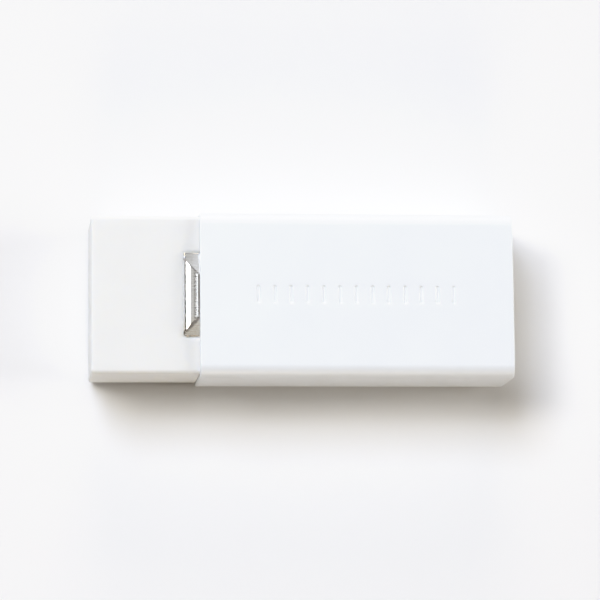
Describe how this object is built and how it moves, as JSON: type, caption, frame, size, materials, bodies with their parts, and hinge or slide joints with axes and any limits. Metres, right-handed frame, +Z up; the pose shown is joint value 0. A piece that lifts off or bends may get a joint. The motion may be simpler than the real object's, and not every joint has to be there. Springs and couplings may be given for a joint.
{
  "type": "block eraser with metal sleeve",
  "caption": "Hand-held block eraser in a thin white metal sleeve, held by a bent spring clip whose folded flap stands out of the mouth.",
  "frame": {"origin": "centre of the bounding box in X and Y, on the plane the sleeve's underside rests on", "axes": "+X along the length towards the closed end (the rubbing end faces -X), +Y across the width, +Z up"},
  "size_m": [0.057, 0.0224, 0.0126],
  "materials": {
    "white_paint": "satin",
    "spring_steel": "polished",
    "vinyl": "matte"
  },
  "bodies": {
    "sleeve_body": {"sleeve": "white_paint", "rear_cap": "white_paint"},
    "clip_body": {"clip": "spring_steel"},
    "block_body": {"eraser_block": "vinyl"}
  },
  "joints": [
    {"name": "clip_slide", "type": "slide", "parent": "sleeve_body", "child": "clip_body", "axis": [-1, 0, 0], "range_m": [0, 0.034]},
    {"name": "eraser_slide", "type": "slide", "parent": "clip_body", "child": "block_body", "axis": [-1, 0, 0], "range_m": [0, 0.034]}
  ]
}
